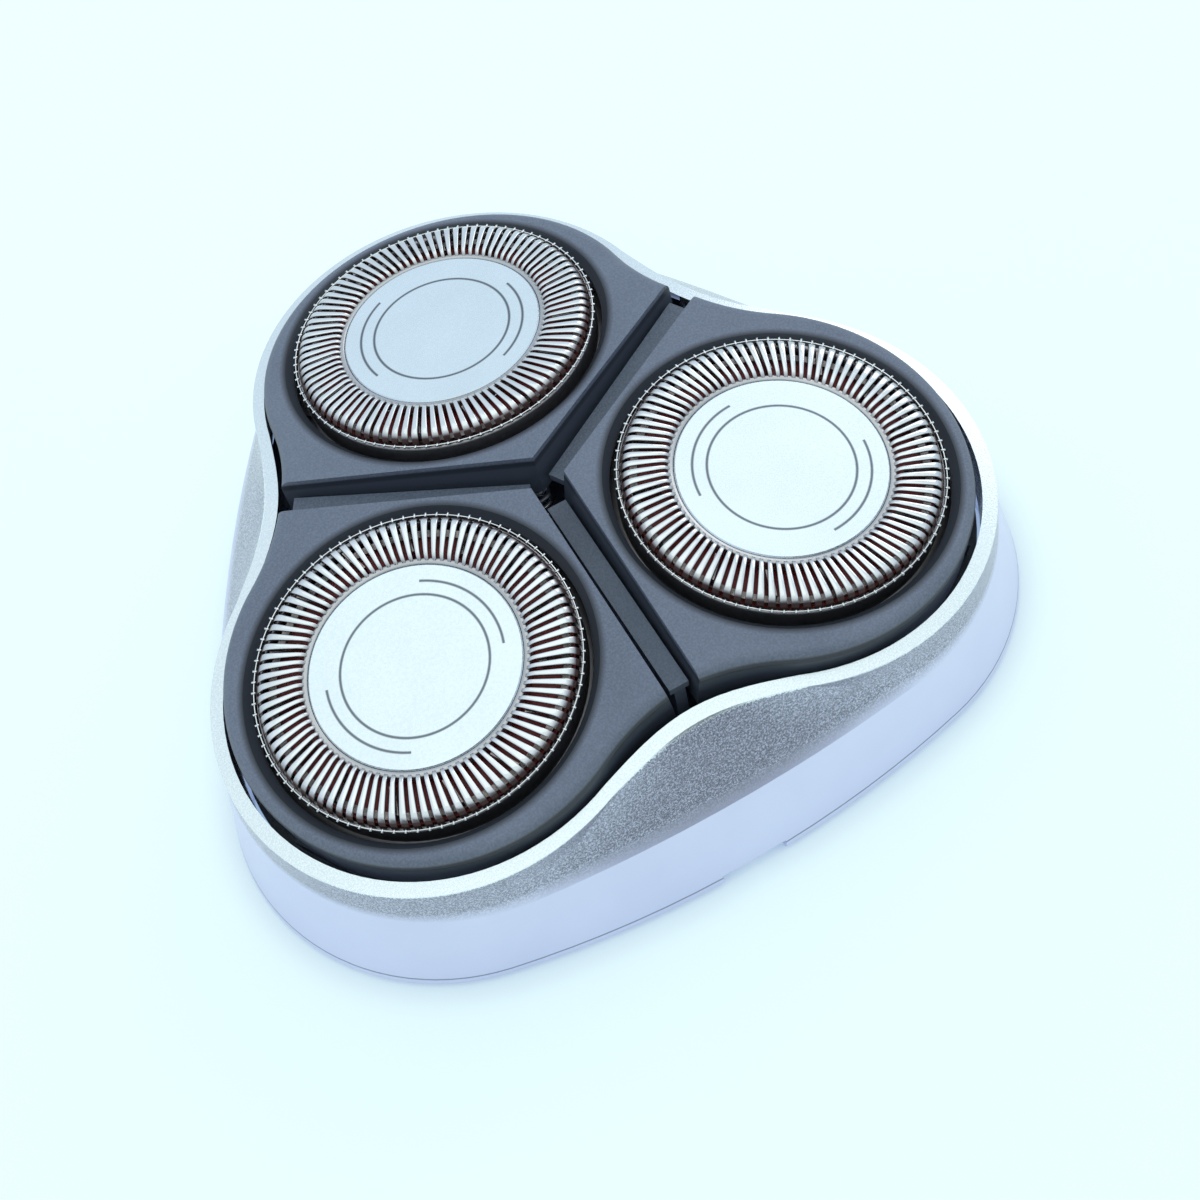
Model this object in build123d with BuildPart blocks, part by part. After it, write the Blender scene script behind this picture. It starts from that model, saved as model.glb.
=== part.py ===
import os
from math import cos, pi, radians, sin, sqrt, tan

from build123d import *

os.makedirs("parts", exist_ok=True)

# Rotary shaver head. The origin is on the threefold axis, level with the skirt's lower rim, with +Z up.
# Head 1 is at the rear, head 2 at the front right and head 3 at the front left.

# Layout of the three heads
HEAD_ANGLES = (90.0, -30.0, 210.0)
HEAD_REACH = 16.0
HEAD_LEAN = 7.26
DISC_HEIGHT = 14.8
CAP_RADIUS = 0.6875 * HEAD_REACH

# Skirt outlines: radius of a lobe, distance of its centre from the axis, and distance of the waist from the axis
FOOT_LOBE, FOOT_CENTRE, FOOT_WAIST = (share * HEAD_REACH for share in (1.0125, 1.006, 1.616))
CREASE_LOBE, CREASE_CENTRE, CREASE_WAIST = (share * HEAD_REACH for share in (1.025, 0.881, 1.5125))
RIM_LOBE, RIM_CENTRE, RIM_WAIST = (share * HEAD_REACH for share in (0.975, 0.909, 1.253))
CREASE_HEIGHT = 7.5
RIM_HEIGHT = 12.45
RIM_SLOPE = 0.17
SKIRT_TOP = 12.7
SKIRT_WALL = 1.25
RIM_WIDTH = 0.85
LIP_HEIGHT = 0.5
LIP_STEP = 0.22
NOTCH_WIDTH = 4.9
NOTCH_HEIGHT = 1.15

# Screws and their bosses, one at each waist
SCREW_REACH = RIM_WAIST + 1.05
SCREW_RADIUS = 0.7
SCREW_HEAD_RADIUS = 1.45
SCREW_HEAD_HEIGHT = 0.9
SCREW_LENGTH = 3.4
SCREW_SLACK = 0.15
CROSS_LENGTH = 1.6
CROSS_WIDTH = 0.4
BOSS_RADIUS = 1.7

# Base frame
PLATE_TOP = 7.1
PLATE_THICKNESS = 1.5
PLATE_GAP = 0.2
WINDOW_RADIUS = CAP_RADIUS - 2.4
SOCKET_RADIUS = 2.5
SOCKET_DEPTH = 5.0
SOCKET_WALL = 1.4
STEM_RADIUS = 1.5
STEM_SLACK = 0.04
BAR_WIDTH = 1.4
BAR_TOP = 13.4
BAR_DEPTH = 0.6
BAR_INNER = 1.25
BAR_OUTER = RIM_WAIST - 2.15
RIB_WIDTH = 0.8
RIB_INNER = 2.3
STOP_WIDTH = 6.0
STOP_LENGTH = 1.4
STOP_HEIGHT = 2.4
STOP_GAP = 0.3

# Petals, in the head's own frame: heights are measured from the disc's top face
PETAL_LOBE, PETAL_CENTRE, PETAL_WAIST = (share * HEAD_REACH for share in (0.8875, 0.931, 1.169))
CHANNEL_HALF = 1.25
PETAL_DROP = 0.9
PETAL_PLATE = 1.0
PETAL_DEPTH = 3.6
PETAL_WALL = 0.9
PETAL_SOFT_EDGE = 0.75
PETAL_HOLE = CAP_RADIUS + 0.5
PETAL_BEVEL = 0.5
PETAL_BARREL = CAP_RADIUS + 1.6
BARREL_WALL = 0.55
PIVOT_DEPTH = 6.0
PIN_RADIUS = 0.5
PIN_SLACK = 0.05
LUG_RADIUS = 1.0
LUG_INSET = 0.1
LUG_THICKNESS = 0.84
EAR_WIDTH = 3.2
EAR_DROP = 2.5
EAR_THICKNESS = 1.3
EAR_GAP = 0.3

# Cap: the slotted guard
CAP_WALL = 0.35
TRACK_RISE = 0.3
TRACK_THICKNESS = 0.25
TRACK_INNER = CAP_RADIUS - 3.35
TRACK_OUTER = CAP_RADIUS - 0.6
LEDGE_WIDTH = 0.15
LEDGE_DROP = 0.1
FLANGE_DROP = 2.5
FLANGE_THICKNESS = 0.4
FLANGE_GAP = 0.1
WEB_THICKNESS = 0.35
SLOT_COUNT = 90
SLOT_START = TRACK_INNER + 0.05
SLOT_WIDTH = 0.52 * 2 * pi * SLOT_START / SLOT_COUNT
SLOT_SLANT = 7.5
SLOT_DROP = 0.45
KEY_WIDTH = 2.0
KEY_DEPTH = 0.55
KEY_SLACK = 0.15
KEY_NOTCH = 0.95

# Centre disc
DISC_RADIUS = TRACK_INNER - 0.45
DISC_THICKNESS = 0.5
DISC_RECESS_GAP = 0.05
DISC_CHAMFER = 0.08

# Cutter
BLADE_COUNT = 15
BLADE_INNER = TRACK_INNER + 0.5
BLADE_OUTER = TRACK_OUTER - 0.25
BLADE_THICKNESS = 0.4
BLADE_GAP = 0.08
BLADE_RAKE = 15.0
BAND_WIDTH = 0.5
BAND_HEIGHT = 0.35
CARRIER_TOP = 1.25
CARRIER_THICKNESS = 1.0
CARRIER_OUTER = BLADE_OUTER + 0.2
HUB_RADIUS = 3.3
HUB_BOTTOM = 5.6
PILOT_RADIUS = 1.2
PILOT_SLACK = 0.06
PILOT_LENGTH = 1.0
PILOT_WALL = 0.9
PILOT_FLOOR_GAP = 0.12
PILOT_WELL_GAP = 0.24
CARRIER_OPENING = 1.7
SPINDLE_SQUARE = 3.0
SPINDLE_DEPTH = 2.4

# Retaining ring
RING_GAP = 0.05
RING_INNER = CAP_RADIUS - 1.7
RING_DEPTH = 1.55
RING_SLACK = 0.1
LOCK_LUG_RISE = 0.2
LOCK_LUG_THICKNESS = 0.6
LOCK_LUG_WIDTH = 3.4
LOCK_ANGLES = (50.0, 170.0, 290.0)
LOCK_SWEEP = 18.0
LOCK_TRAVEL = 15.0
LOCK_SLACK = 0.1
LOCK_LUG_ROOT = 0.8
GRIP_ANGLES = (60.0, 240.0)
GRIP_INNER = RING_INNER + 0.3
GRIP_LENGTH = 1.9
GRIP_WIDTH = 1.2
GRIP_DROP = 0.8

# Petal springs
SPRING_REACH = 2.55
SPRING_RADIUS = 0.78
SPRING_WIRE = 0.15
SPRING_TURNS = 5
SPRING_GAP = 0.12
SPRING_REST = 0.03
SPIGOT_RADIUS = 0.45
SPIGOT_HEIGHT = 1.2


lean = radians(HEAD_LEAN)


def polar(reach, angle):
    """A point in a horizontal plane, by distance from the axis and angle in degrees."""
    return (reach * cos(radians(angle)), reach * sin(radians(angle)))


def trefoil(lobe, centre, waist, middle=(0, 0), turn=0):
    """Draw six tangent arcs, a lobe towards each head and a waist between each pair of lobes.

    A waist that lies outside the lobes' common tangent bulges outwards, and one inside it is hollow.
    """
    reach = waist - lobe
    waist_centre = (centre**2 - reach**2) / (2 * reach - centre)
    waist_radius = waist + waist_centre
    rise = -centre / 2 - waist_centre
    span = sqrt((centre * cos(radians(30))) ** 2 + rise**2)
    share = abs(waist_radius) / span
    touch = Vector(share * centre * cos(radians(30)), waist_centre + share * rise)
    half_waist = Vector(0, -1).get_angle(touch)

    def at(distance, angle):
        return Vector(*middle) + Vector(*polar(distance, angle + turn))

    for angle in HEAD_ANGLES:
        lobe_start = at(touch.length, angle - 60 + half_waist)
        lobe_end = at(touch.length, angle + 60 - half_waist)
        next_start = at(touch.length, angle + 60 + half_waist)
        ThreePointArc(lobe_start, at(centre + lobe, angle), lobe_end)
        ThreePointArc(lobe_end, at(waist, angle + 60), next_start)


def outline_at(height, lobe, centre, waist):
    """A level face inside the six arcs."""
    with BuildSketch(Plane.XY.offset(height)) as level:
        with BuildLine():
            trefoil(lobe, centre, waist)
        make_face()
    return level.sketch


def head_plane(angle):
    """A head's own frame: origin at the middle of its disc's top face, X outwards and Z along its axis."""
    outward = Vector(cos(radians(angle)), sin(radians(angle)), 0)
    up = Vector(0, 0, 1)
    return Plane(
        origin=outward * HEAD_REACH + up * DISC_HEIGHT,
        x_dir=outward * cos(lean) - up * sin(lean),
        z_dir=outward * sin(lean) + up * cos(lean),
    )


def upright(angle):
    """An upright plane through the axis, with X pointing outwards at the angle and Y pointing up."""
    across = (sin(radians(angle)), -cos(radians(angle)), 0)
    return Plane(origin=(0, 0, 0), x_dir=(cos(radians(angle)), sin(radians(angle)), 0), z_dir=across)


HEAD_SEATS = [head_plane(angle).location for angle in HEAD_ANGLES]

# Values that follow from the sizes above
plate_bottom = PLATE_TOP - PLATE_THICKNESS
petal_bottom = PETAL_DROP + PETAL_DEPTH
petal_under = PETAL_DROP + PETAL_PLATE
petal_bore = PETAL_BARREL - BARREL_WALL
flange_radius = petal_bore - FLANGE_GAP
flange_bottom = FLANGE_DROP + FLANGE_THICKNESS
ring_top = flange_bottom + RING_GAP
track_under = TRACK_RISE - TRACK_THICKNESS
web_bottom = DISC_THICKNESS + WEB_THICKNESS
blade_top = track_under - BLADE_GAP
carrier_bottom = CARRIER_TOP + CARRIER_THICKNESS
lug_outer = PETAL_LOBE - LUG_INSET
lug_inner = lug_outer - LUG_THICKNESS
ear_outer = lug_inner - EAR_GAP
ear_inner = ear_outer - EAR_THICKNESS
recess_radius = DISC_RADIUS + DISC_RECESS_GAP
pilot_tube = PILOT_RADIUS + PILOT_SLACK + PILOT_WALL
lock_middle = ring_top + RING_DEPTH / 2
blade_middle = (BLADE_INNER + BLADE_OUTER) / 2
blade_length = BLADE_OUTER - BLADE_INNER

# Skirt housing: the outside is ruled from the foot to the crease and from there to the rim
with BuildPart() as skirt_outside:
    loft(
        sections=[
            outline_at(LIP_HEIGHT, FOOT_LOBE, FOOT_CENTRE, FOOT_WAIST),
            outline_at(CREASE_HEIGHT, CREASE_LOBE, CREASE_CENTRE, CREASE_WAIST),
            outline_at(SKIRT_TOP, RIM_LOBE, RIM_CENTRE, RIM_WAIST),
        ],
        ruled=True,
    )
    # The rim's top face falls towards the lobes, as a flat cone
    with BuildSketch(Plane.XZ):
        with BuildLine():
            Polyline(
                (0, RIM_HEIGHT + RIM_SLOPE * RIM_WAIST),
                (2 * RIM_WAIST, RIM_HEIGHT - RIM_SLOPE * RIM_WAIST),
                (2 * RIM_WAIST, 2 * RIM_HEIGHT),
                (0, 2 * RIM_HEIGHT),
                close=True,
            )
        make_face()
    revolve(axis=Axis.Z, mode=Mode.SUBTRACT)

# The hollow inside runs past both ends of the skirt
with BuildPart() as skirt_inside:
    loft(
        sections=[
            outline_at(-SKIRT_WALL, FOOT_LOBE - SKIRT_WALL, FOOT_CENTRE, FOOT_WAIST - SKIRT_WALL),
            outline_at(CREASE_HEIGHT, CREASE_LOBE - SKIRT_WALL, CREASE_CENTRE, CREASE_WAIST - SKIRT_WALL),
            outline_at(SKIRT_TOP, RIM_LOBE - RIM_WIDTH, RIM_CENTRE, RIM_WAIST - RIM_WIDTH),
            outline_at(SKIRT_TOP + SKIRT_WALL, RIM_LOBE - RIM_WIDTH, RIM_CENTRE, RIM_WAIST - RIM_WIDTH),
        ],
        ruled=True,
    )
    # Screw bosses stay standing between the frame and the waists
    with BuildSketch(Plane.XY.offset(PLATE_TOP)):
        with PolarLocations(SCREW_REACH, 3, start_angle=30):
            Circle(BOSS_RADIUS)
    extrude(amount=SKIRT_TOP, mode=Mode.SUBTRACT)

with BuildPart() as skirt_housing:
    add(skirt_outside.part)
    add(outline_at(0, FOOT_LOBE - LIP_STEP, FOOT_CENTRE, FOOT_WAIST - LIP_STEP))
    extrude(amount=LIP_HEIGHT)
    add(skirt_inside.part, mode=Mode.SUBTRACT)
    with BuildSketch(Plane.XY.offset(PLATE_TOP)):
        with PolarLocations(SCREW_REACH, 3, start_angle=30):
            Circle(SCREW_RADIUS)
    extrude(amount=SCREW_LENGTH - PLATE_THICKNESS + SCREW_SLACK, mode=Mode.SUBTRACT)
    # Notch in the front of the lower edge
    with Locations((0, -FOOT_WAIST, 0)):
        Box(NOTCH_WIDTH, 4 * SKIRT_WALL, 2 * NOTCH_HEIGHT, mode=Mode.SUBTRACT)
skirt_housing.part.label = "skirt_housing"
export_step(skirt_housing.part, "parts/skirt_housing.step")

# Pivot ear of the frame, in a head's own frame, one on each side of the head
with BuildPart() as ears:
    for side in (-1, 1):
        middle = side * (ear_inner + ear_outer) / 2
        with BuildSketch(Plane.XZ.offset(-middle)):
            with Locations((0, -PIVOT_DEPTH)):
                Circle(LUG_RADIUS)
            with Locations((0, -PIVOT_DEPTH - LUG_RADIUS / 4)):
                Rectangle(EAR_WIDTH, EAR_DROP - LUG_RADIUS / 4, align=(Align.CENTER, Align.MAX))
        extrude(amount=EAR_THICKNESS / 2, both=True)
    with BuildSketch(Plane.XZ):
        with Locations((0, -PIVOT_DEPTH)):
            Circle(PIN_RADIUS)
    extrude(amount=2 * PETAL_LOBE, both=True, mode=Mode.SUBTRACT)

# Stop of the frame under a petal's lobe, in the head's own frame
with BuildPart() as stop:
    with BuildSketch(Plane.XY.offset(-petal_bottom - STOP_GAP)):
        with Locations(((petal_bore + PETAL_BARREL) / 2, 0)):
            Rectangle(STOP_LENGTH, STOP_WIDTH)
    extrude(amount=-STOP_HEIGHT)

# Base frame
with BuildPart() as base_frame:
    with BuildSketch(Plane.XY.offset(plate_bottom)):
        with BuildLine():
            inset = SKIRT_WALL + PLATE_GAP
            trefoil(CREASE_LOBE - inset, CREASE_CENTRE, CREASE_WAIST - inset)
        make_face()
    extrude(amount=PLATE_THICKNESS)
    # Hole for the stem of the socket bush, and the drive windows, one below each head
    with BuildSketch(Plane.XY.offset(plate_bottom)):
        Circle(STEM_RADIUS + STEM_SLACK)
        with PolarLocations(HEAD_REACH - PIVOT_DEPTH * sin(radians(HEAD_LEAN)), 3, start_angle=90):
            Circle(WINDOW_RADIUS)
    extrude(amount=PLATE_THICKNESS, mode=Mode.SUBTRACT)
    # Ribs and bars that stand in the channels between the petals
    for angle in HEAD_ANGLES:
        along = Plane.XY.rotated((0, 0, angle + 60))
        with BuildSketch(along.offset(plate_bottom)):
            with Locations(((RIB_INNER + BAR_OUTER) / 2, 0)):
                Rectangle(BAR_OUTER - RIB_INNER, RIB_WIDTH)
        extrude(amount=BAR_TOP - BAR_DEPTH - plate_bottom)
        with BuildSketch(along.offset(BAR_TOP - BAR_DEPTH)):
            with Locations(((BAR_INNER + BAR_OUTER) / 2, 0)):
                Rectangle(BAR_OUTER - BAR_INNER, BAR_WIDTH)
        extrude(amount=BAR_DEPTH)
    # Seats of the petal springs
    with BuildSketch(Plane.XY.offset(PLATE_TOP)):
        with PolarLocations(SPRING_REACH, 3, start_angle=90):
            Circle(SPIGOT_RADIUS)
    extrude(amount=SPIGOT_HEIGHT)
    with Locations(*HEAD_SEATS):
        add(ears.part)
        add(stop.part)
    # Screw holes
    with BuildSketch(Plane.XY.offset(plate_bottom)):
        with PolarLocations(SCREW_REACH, 3, start_angle=30):
            Circle(SCREW_RADIUS + SCREW_SLACK)
    extrude(amount=PLATE_THICKNESS, mode=Mode.SUBTRACT)
base_frame.part.label = "base_frame"
export_step(base_frame.part, "parts/base_frame.step")

# Socket bush, pressed into the frame's middle, with the central socket open below
with BuildPart() as socket_bush:
    with BuildSketch():
        Circle(SOCKET_RADIUS + SOCKET_WALL)
    extrude(amount=plate_bottom)
    with BuildSketch(Plane.XY.offset(plate_bottom)):
        Circle(STEM_RADIUS)
    extrude(amount=PLATE_THICKNESS)
    with BuildSketch():
        Circle(SOCKET_RADIUS)
    extrude(amount=SOCKET_DEPTH, mode=Mode.SUBTRACT)
socket_bush.part.label = "socket_bush"
export_step(socket_bush.part, "parts/socket_bush.step")

# Screws, driven up through the frame into the skirt's bosses
with BuildPart() as screws:
    with BuildSketch(Plane.XY.offset(plate_bottom)):
        with PolarLocations(SCREW_REACH, 3, start_angle=30):
            Circle(SCREW_RADIUS)
    extrude(amount=SCREW_LENGTH)
    with BuildSketch(Plane.XY.offset(plate_bottom)):
        with PolarLocations(SCREW_REACH, 3, start_angle=30):
            Circle(SCREW_HEAD_RADIUS)
    extrude(amount=-SCREW_HEAD_HEIGHT)
    with BuildSketch(Plane.XY.offset(plate_bottom - SCREW_HEAD_HEIGHT)):
        with PolarLocations(SCREW_REACH, 3, start_angle=30):
            Rectangle(CROSS_LENGTH, CROSS_WIDTH)
            Rectangle(CROSS_WIDTH, CROSS_LENGTH)
    extrude(amount=SCREW_HEAD_HEIGHT / 2, mode=Mode.SUBTRACT)
screws.part.label = "screws"
export_step(screws.part, "parts/screws.step")

# Pivot pins, two to a petal
with BuildPart() as pin_pair:
    for side in (-1, 1):
        with BuildSketch(Plane.XZ.offset(-side * ear_inner)):
            with Locations((0, -PIVOT_DEPTH)):
                Circle(PIN_RADIUS)
        extrude(amount=-side * (lug_outer - ear_inner))
with BuildPart() as pivot_pins:
    with Locations(*HEAD_SEATS):
        add(pin_pair.part)
pivot_pins.part.label = "pivot_pins"
export_step(pivot_pins.part, "parts/pivot_pins.step")

# Petal, in the head's own frame
apex = CHANNEL_HALF / sin(radians(60))


def petal_outline(inset):
    """A third of the trefoil, inset all round, with its straight sides along the channels."""
    tip = apex + inset / sin(radians(60)) - HEAD_REACH
    far = tip + 2 * HEAD_REACH
    half = 2 * HEAD_REACH * tan(radians(60))
    with BuildSketch() as outline:
        with BuildLine():
            trefoil(PETAL_LOBE - inset, PETAL_CENTRE, PETAL_WAIST - inset, middle=(-HEAD_REACH, 0), turn=-90)
        make_face()
        with BuildLine():
            Polyline((tip, 0), (far, -half), (far, half), close=True)
        make_face(mode=Mode.INTERSECT)
    return outline.sketch


with BuildPart() as petal_shape:
    with BuildSketch(Plane.XY.offset(-PETAL_DROP)):
        add(petal_outline(0))
    extrude(amount=-PETAL_DEPTH)
    top_edges = petal_shape.faces().sort_by(Axis.Z)[-1].edges()
    fillet(top_edges.filter_by(GeomType.CIRCLE), PETAL_SOFT_EDGE)
    with BuildSketch(Plane.XY.offset(-petal_under)):
        add(petal_outline(PETAL_WALL))
        Circle(PETAL_BARREL, mode=Mode.SUBTRACT)
    extrude(amount=-PETAL_DEPTH, mode=Mode.SUBTRACT)
    # Spring pad under the inner tip
    with BuildSketch(Plane.XY.offset(-petal_bottom)):
        add(petal_outline(PETAL_WALL / 2))
        with Locations((SPRING_REACH - HEAD_REACH, 0)):
            Rectangle(6 * SPRING_RADIUS, 4 * SPRING_RADIUS, mode=Mode.INTERSECT)
    extrude(amount=PETAL_DEPTH - PETAL_PLATE)
    # Hole for the cap, and the wider bore below that holds its flange
    with BuildSketch(Plane.XY.offset(-PETAL_DROP)):
        Circle(PETAL_HOLE)
    extrude(amount=-PETAL_PLATE, mode=Mode.SUBTRACT)
    top_edges = petal_shape.faces().sort_by(Axis.Z)[-1].edges()
    hole_edges = [edge for edge in top_edges.filter_by(GeomType.CIRCLE) if abs(edge.radius - PETAL_HOLE) < 0.01]
    chamfer(hole_edges, PETAL_BEVEL)
    with BuildSketch(Plane.XY.offset(-petal_under)):
        Circle(petal_bore)
    extrude(amount=-PETAL_DEPTH, mode=Mode.SUBTRACT)
    # Keys that stop the cap from turning
    with BuildSketch(Plane.XY.offset(-petal_under)):
        Circle(petal_bore + PETAL_WALL / 4)
        Circle(petal_bore - KEY_DEPTH, mode=Mode.SUBTRACT)
        Rectangle(KEY_WIDTH, 3 * petal_bore, mode=Mode.INTERSECT)
    extrude(amount=petal_under - flange_bottom)
    # Lugs that hang on the pivot pins
    for side in (-1, 1):
        with BuildSketch(Plane.XZ.offset(-side * (lug_inner + lug_outer) / 2)):
            with Locations((0, -PIVOT_DEPTH)):
                Circle(LUG_RADIUS)
            with Locations((0, -(petal_bottom + PIVOT_DEPTH - LUG_RADIUS / 2) / 2)):
                Rectangle(2 * LUG_RADIUS, PIVOT_DEPTH - petal_bottom + LUG_RADIUS / 2)
        extrude(amount=(lug_outer - lug_inner) / 2, both=True)
    with BuildSketch(Plane.XZ):
        with Locations((0, -PIVOT_DEPTH)):
            Circle(PIN_RADIUS + PIN_SLACK)
    extrude(amount=2 * PETAL_LOBE, both=True, mode=Mode.SUBTRACT)
    # Bayonet grooves, each with an entry from below for a lug of the retaining ring
    lock_height = LOCK_LUG_THICKNESS + 2 * LOCK_SLACK
    for angle in LOCK_ANGLES:
        with BuildSketch(upright(angle - LOCK_SWEEP / 2)):
            with Locations((petal_bore, -lock_middle)):
                Rectangle(2 * (LOCK_LUG_RISE + LOCK_SLACK), lock_height)
        revolve(axis=Axis.Z, revolution_arc=LOCK_SWEEP + LOCK_TRAVEL, mode=Mode.SUBTRACT)
        with BuildSketch(upright(angle - LOCK_SWEEP / 2 + LOCK_TRAVEL)):
            with Locations((petal_bore, -petal_bottom)):
                Rectangle(2 * (LOCK_LUG_RISE + LOCK_SLACK), 2 * (petal_bottom - lock_middle))
        revolve(axis=Axis.Z, revolution_arc=LOCK_SWEEP, mode=Mode.SUBTRACT)

for number, seat in enumerate(HEAD_SEATS, 1):
    with BuildPart() as petal:
        with Locations(seat):
            add(petal_shape.part)
    petal.part.label = f"petal_{number}"
    export_step(petal.part, f"parts/petal_{number}.step")

# Cap: pressed cup with a slotted track, a recess for the disc and a flange at its foot
with BuildPart() as cap_shape:
    with BuildSketch(Plane.XZ):
        with BuildLine():
            Polyline(
                (0, -DISC_THICKNESS),
                (recess_radius, -DISC_THICKNESS),
                (recess_radius, 0),
                (TRACK_INNER - TRACK_RISE, 0),
                (TRACK_INNER, TRACK_RISE),
                (TRACK_OUTER, TRACK_RISE),
                (CAP_RADIUS - LEDGE_WIDTH, -LEDGE_DROP),
                (CAP_RADIUS, -LEDGE_DROP),
                (CAP_RADIUS, -FLANGE_DROP),
                (flange_radius, -FLANGE_DROP),
                (flange_radius, -flange_bottom),
                (CAP_RADIUS - CAP_WALL, -flange_bottom),
                (CAP_RADIUS - CAP_WALL, track_under - CAP_WALL),
                (TRACK_OUTER - LEDGE_WIDTH, track_under),
                (TRACK_INNER + TRACK_THICKNESS, track_under),
                (recess_radius + CAP_WALL, -TRACK_THICKNESS),
                (recess_radius + CAP_WALL, -web_bottom),
                (pilot_tube, -web_bottom),
                (pilot_tube, -web_bottom - PILOT_LENGTH),
                (PILOT_RADIUS + PILOT_SLACK, -web_bottom - PILOT_LENGTH),
                (PILOT_RADIUS + PILOT_SLACK, -web_bottom),
                (0, -web_bottom),
                close=True,
            )
        make_face()
    revolve(axis=Axis.Z)
    # Slots across the track, open over the outer shoulder
    slot_length = CAP_RADIUS + LEDGE_WIDTH - SLOT_START
    with BuildSketch(Plane.XY.offset(-SLOT_DROP)):
        with PolarLocations((SLOT_START + CAP_RADIUS + LEDGE_WIDTH) / 2, SLOT_COUNT):
            Rectangle(slot_length, SLOT_WIDTH, rotation=SLOT_SLANT)
    extrude(amount=SLOT_DROP + 2 * TRACK_RISE, mode=Mode.SUBTRACT)
    # Notches for the petal's keys
    with BuildSketch(Plane.XY.offset(-flange_bottom)):
        for side in (-1, 1):
            with Locations((0, side * (CAP_RADIUS + KEY_SLACK + KEY_NOTCH / 2))):
                Rectangle(KEY_WIDTH + 2 * KEY_SLACK, KEY_NOTCH)
    extrude(amount=FLANGE_THICKNESS, mode=Mode.SUBTRACT)

# Centre disc, set in the cap's recess
with BuildPart() as disc_shape:
    Cylinder(DISC_RADIUS, DISC_THICKNESS, align=(Align.CENTER, Align.CENTER, Align.MAX))
    chamfer(disc_shape.edges().sort_by(Axis.Z)[-1], DISC_CHAMFER)

# Blade ring: blades that stand on the carrier, joined by a band round their outer feet
with BuildPart() as blades_shape:
    with BuildSketch(Plane.XY.offset(-CARRIER_TOP)):
        Circle(BLADE_OUTER)
        Circle(BLADE_OUTER - BAND_WIDTH, mode=Mode.SUBTRACT)
    extrude(amount=BAND_HEIGHT)
    with BuildSketch(Plane.XY.offset(-CARRIER_TOP)):
        with PolarLocations(blade_middle, BLADE_COUNT):
            Rectangle(blade_length, BLADE_THICKNESS, rotation=BLADE_RAKE)
        Circle(BLADE_OUTER, mode=Mode.INTERSECT)
    extrude(amount=CARRIER_TOP + blade_top)

# Cutter carrier: pilot above, hub with the square drive socket below
with BuildPart() as carrier_shape:
    with BuildSketch(Plane.XY.offset(-carrier_bottom)):
        Circle(CARRIER_OUTER)
        with PolarLocations((HUB_RADIUS + BLADE_INNER) / 2, 6):
            Circle(CARRIER_OPENING, mode=Mode.SUBTRACT)
    extrude(amount=CARRIER_THICKNESS)
    with BuildSketch(Plane.XY.offset(-HUB_BOTTOM)):
        Circle(HUB_RADIUS)
    extrude(amount=HUB_BOTTOM - carrier_bottom)
    with BuildSketch(Plane.XY.offset(-CARRIER_TOP)):
        Circle(pilot_tube + PILOT_WELL_GAP)
    extrude(amount=-(web_bottom + PILOT_LENGTH + PILOT_FLOOR_GAP - CARRIER_TOP), mode=Mode.SUBTRACT)
    with BuildSketch(Plane.XY.offset(-carrier_bottom)):
        Circle(PILOT_RADIUS)
    extrude(amount=carrier_bottom - web_bottom - PILOT_FLOOR_GAP)
    with BuildSketch(Plane.XY.offset(-HUB_BOTTOM)):
        Rectangle(SPINDLE_SQUARE, SPINDLE_SQUARE)
    extrude(amount=SPINDLE_DEPTH, mode=Mode.SUBTRACT)

# Retaining ring, turned into the petal from below
with BuildPart() as ring_shape:
    with BuildSketch(Plane.XY.offset(-ring_top)):
        Circle(petal_bore - RING_SLACK)
        Circle(RING_INNER, mode=Mode.SUBTRACT)
    extrude(amount=-RING_DEPTH)
    for angle in LOCK_ANGLES:
        with BuildSketch(Plane.XY.offset(-lock_middle)):
            Circle(petal_bore + LOCK_LUG_RISE)
            Circle(petal_bore - LOCK_LUG_ROOT, mode=Mode.SUBTRACT)
            with Locations(polar(petal_bore, angle)):
                Rectangle(4 * LOCK_LUG_ROOT, LOCK_LUG_WIDTH, rotation=angle, mode=Mode.INTERSECT)
        extrude(amount=LOCK_LUG_THICKNESS / 2, both=True)
    for angle in GRIP_ANGLES:
        with BuildSketch(Plane.XY.offset(-ring_top - RING_DEPTH).rotated((0, 0, angle))):
            with Locations((GRIP_INNER + GRIP_LENGTH / 2, 0)):
                Rectangle(GRIP_LENGTH, GRIP_WIDTH)
        extrude(amount=-GRIP_DROP)

for name, shape in (
    ("cap", cap_shape),
    ("disc", disc_shape),
    ("cutter_blades", blades_shape),
    ("cutter_carrier", carrier_shape),
    ("retaining_ring", ring_shape),
):
    for number, seat in enumerate(HEAD_SEATS, 1):
        with BuildPart() as seated:
            with Locations(seat):
                add(shape.part)
        seated.part.label = f"{name}_{number}"
        export_step(seated.part, f"parts/{name}_{number}.step")

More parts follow.
